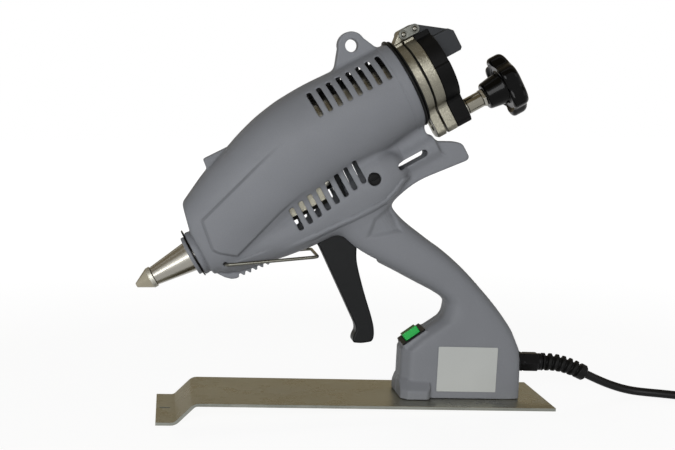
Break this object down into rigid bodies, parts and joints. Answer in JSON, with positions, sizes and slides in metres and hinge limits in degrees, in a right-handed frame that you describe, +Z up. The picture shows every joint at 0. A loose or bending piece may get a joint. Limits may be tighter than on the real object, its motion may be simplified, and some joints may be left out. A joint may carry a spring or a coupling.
{
  "type": "hot glue applicator",
  "caption": "Hand-held hot melt glue applicator with heated tank, clamped lid, trigger pump and mains lead, resting on a bent sheet-metal stand plate.",
  "frame": {"origin": "bottom centre of the bounding box of the object without its free cord and plug", "axes": "muzzle towards -X, plate width along Y, +Z up; the plate's long side runs along X"},
  "size_m": [0.6733, 0.1392, 0.3497],
  "materials": {
    "housing": "satin moulded grey plastic",
    "black_plastic": "matte black plastic",
    "gloss_black": "glossy black plastic",
    "rubber_black": "matte black rubber",
    "polished_steel": "polished steel",
    "sheet_steel": "galvanised sheet steel, brushed",
    "cast_aluminium": "cast aluminium, grainy",
    "brass": "nickel-free brass plug pins",
    "switch_green": "bright green rocker",
    "board": "circuit board",
    "label": "bare satin label plate",
    "ceramic": "off-white ceramic"
  },
  "bodies": {
    "gun": {"bend_protector": "rubber_black", "cable_gland": "black_plastic", "check_ball": "polished_steel", "controller_board": "board", "cord_coil": "rubber_black", "cord_lead": "rubber_black", "cord_tail": "rubber_black", "cord_tie": "rubber_black", "gland_nut": "black_plastic", "heater_cartridge_1": "polished_steel", "heater_cartridge_2": "polished_steel", "hinge_pin_1": "polished_steel", "housing_left": "housing", "housing_right": "housing", "housing_screw_1": "polished_steel", "housing_screw_2": "polished_steel", "housing_screw_3": "polished_steel", "housing_screw_4": "polished_steel", "housing_screw_5": "polished_steel", "housing_screw_6": "polished_steel", "label_plate": "label", "lid_gasket": "rubber_black", "mains_plug": "rubber_black", "nozzle_clip": "rubber_black", "nozzle_collar": "housing", "nozzle_tip": "polished_steel", "nozzle_tube": "polished_steel", "plug_pin_1": "brass", "plug_pin_2": "brass", "pump_body": "cast_aluminium", "stand_plate": "sheet_steel", "stand_screw_1": "polished_steel", "stand_screw_2": "polished_steel", "switch_body": "black_plastic", "tank": "cast_aluminium", "tank_seal": "rubber_black", "terminal_block": "ceramic", "thermostat": "ceramic", "trigger_pin": "polished_steel", "trigger_spring": "polished_steel"},
    "trigger": {"trigger": "black_plastic"},
    "piston": {"piston": "polished_steel"},
    "hinge_links": {"hinge_link_left": "cast_aluminium", "hinge_link_right": "cast_aluminium", "hinge_pin_2": "polished_steel"},
    "lid": {"lid_ring": "cast_aluminium", "lid_cover": "rubber_black", "lid_arm": "black_plastic"},
    "clamp_slider": {"clamp_washer": "polished_steel"},
    "clamp_screw": {"clamp_spindle": "polished_steel", "lock_nut": "polished_steel", "star_knob": "gloss_black"},
    "adjuster": {"temperature_dial": "black_plastic"},
    "rocker": {"switch_rocker": "switch_green"},
    "bail": {"wire_bail": "polished_steel"}
  },
  "joints": [
    {"name": "trigger_pull", "type": "hinge", "parent": "gun", "child": "trigger", "pos_m": [0.00345, 0, 0.1833], "axis": [0, -1, 0], "range_deg": [0, 18], "stiffness_Nm_per_rad": 0.6, "springref_deg": -20.05},
    {"name": "piston_stroke", "type": "slide", "parent": "gun", "child": "piston", "axis": [-0.8844, 0, -0.4668], "range_m": [0, 0.0094]},
    {"name": "link_swing", "type": "hinge", "parent": "gun", "child": "hinge_links", "pos_m": [0.0526, 0, 0.33997], "axis": [0, -1, 0], "range_deg": [0, 80]},
    {"name": "lid_swing", "type": "hinge", "parent": "hinge_links", "child": "lid", "pos_m": [0.06277, 0, 0.34533], "axis": [0, -1, 0], "range_deg": [0, 100]},
    {"name": "clamp_travel", "type": "slide", "parent": "lid", "child": "clamp_slider", "axis": [0.8844, 0, 0.4668], "range_m": [0, 0.008]},
    {"name": "clamp_turn", "type": "hinge", "parent": "clamp_slider", "child": "clamp_screw", "pos_m": [0.11326, 0, 0.27519], "axis": [0.8844, 0, 0.4668], "range_deg": [0, 1915]},
    {"name": "adjuster_turn", "type": "hinge", "parent": "gun", "child": "adjuster", "pos_m": [0.02475, -0.025, 0.21151], "axis": [0, -1, 0], "range_deg": [0, 270]},
    {"name": "rocker_tilt", "type": "hinge", "parent": "gun", "child": "rocker", "pos_m": [0.06427, 0, 0.06429], "axis": [0.8327, 0, 0.5538], "range_deg": [0, 20]},
    {"name": "bail_swing", "type": "hinge", "parent": "gun", "child": "bail", "pos_m": [-0.10871, 0, 0.13722], "axis": [0, 1, 0], "range_deg": [0, 100]}
  ],
  "couplings": [
    {"joint": "piston_stroke", "follows": "trigger_pull", "m_per_rad": 0.0299},
    {"joint": "clamp_travel", "follows": "clamp_turn", "m_per_rad": 0.00023873}
  ]
}
